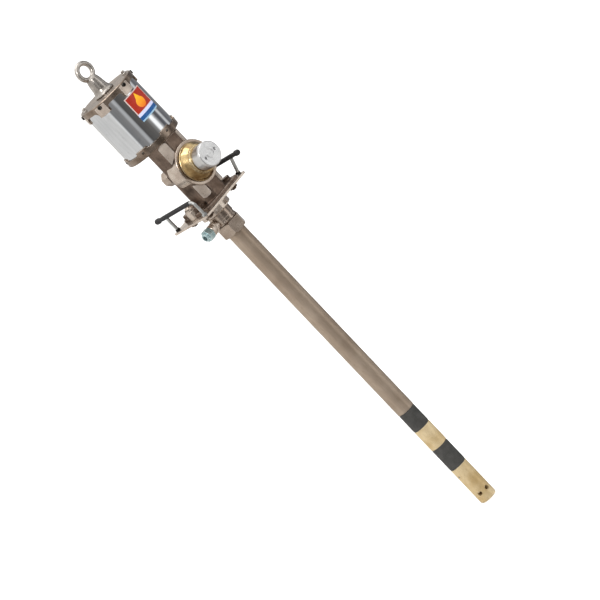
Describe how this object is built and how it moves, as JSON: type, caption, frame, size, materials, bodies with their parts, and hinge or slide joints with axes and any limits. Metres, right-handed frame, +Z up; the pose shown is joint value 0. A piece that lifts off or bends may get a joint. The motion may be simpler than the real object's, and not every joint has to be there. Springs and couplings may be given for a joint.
{
  "type": "drum barrel pump",
  "caption": "Air-operated piston drum pump: chrome air motor with lifting eye, crosswise air valve, two side handles, collar and a long banded suction tube with a foot valve.",
  "frame": {"origin": "centre of the closed foot's flat lower face", "axes": "+Z up along the pump; -Y is the front, where the air valve's cap and the label are; the handles are on -X and +X"},
  "size_m": [0.1934, 0.2553, 1.531],
  "materials": {
    "polished_nickel": "nickel-plated casting, warm grey, satin to polished",
    "tube_nickel": "satin warm taupe, fine lengthwise and turned marks",
    "chrome": "mirror chrome",
    "brass": "polished brass",
    "aluminium": "turned and polished aluminium",
    "zinc": "bluish zinc plating",
    "steel": "ground steel",
    "dark_steel": "black oxide steel",
    "tan": "satin yellow passivated steel",
    "black_sleeve": "dark grey, finely textured",
    "grip_rubber": "matte black rubber",
    "seal": "black seal rubber",
    "label": null
  },
  "bodies": {
    "pump": {"foot_valve_housing": "tan", "foot_valve_seat": "steel", "ball_stop_pin": "steel", "pump_barrel": "tan", "lower_black_sleeve": "black_sleeve", "upper_black_sleeve": "black_sleeve", "suction_tube": "tube_nickel", "tube_collar": "polished_nickel", "outlet_body": "polished_nickel", "rod_packing": "seal", "packing_nut": "brass", "lock_ring": "polished_nickel", "outlet_coupling": "polished_nickel", "outlet_nipple": "zinc", "handle_plate": "polished_nickel", "plate_bolt_1": "dark_steel", "plate_bolt_2": "dark_steel", "plate_bolt_3": "dark_steel", "plate_bolt_4": "dark_steel", "plate_nut_1": "dark_steel", "plate_nut_2": "dark_steel", "plate_nut_3": "dark_steel", "plate_nut_4": "dark_steel", "handle_left": "zinc", "handle_right": "zinc", "grip_left": "grip_rubber", "grip_right": "grip_rubber", "center_body": "polished_nickel", "inlet_fitting": "polished_nickel", "valve_liner": "brass", "valve_flange": "polished_nickel", "brass_bell": "brass", "end_cap": "aluminium", "rod_bush": "brass", "rod_seal": "seal", "bottom_head": "polished_nickel", "cylinder_tube": "chrome", "base_seal": "seal", "top_head": "polished_nickel", "cover_seal": "seal", "lifting_eye": "polished_nickel", "label_plate": "label", "head_screw_1": "dark_steel", "head_screw_2": "dark_steel", "head_screw_3": "dark_steel", "head_screw_4": "dark_steel", "head_screw_5": "dark_steel", "head_screw_6": "dark_steel"},
    "piston_assembly": {"air_piston": "aluminium", "piston_seal": "seal", "piston_nut": "steel", "piston_rod": "chrome", "rod_coupling": "steel", "pump_rod": "steel", "plunger": "steel", "plunger_seal": "seal"},
    "transfer_ball_body": {"transfer_ball": "chrome"},
    "foot_ball_body": {"foot_ball": "chrome"},
    "spool_body": {"valve_spool": "steel", "spool_seal": "seal"}
  },
  "joints": [
    {"name": "piston_stroke", "type": "slide", "parent": "pump", "child": "piston_assembly", "axis": [0, 0, 1], "range_m": [0, 0.1]},
    {"name": "transfer_ball_lift", "type": "slide", "parent": "piston_assembly", "child": "transfer_ball_body", "axis": [0, 0, 1], "range_m": [0, 0.005]},
    {"name": "foot_ball_lift", "type": "slide", "parent": "pump", "child": "foot_ball_body", "axis": [0, 0, 1], "range_m": [0, 0.01]},
    {"name": "spool_shift", "type": "slide", "parent": "pump", "child": "spool_body", "axis": [0, -1, 0], "range_m": [0, 0.009]}
  ]
}
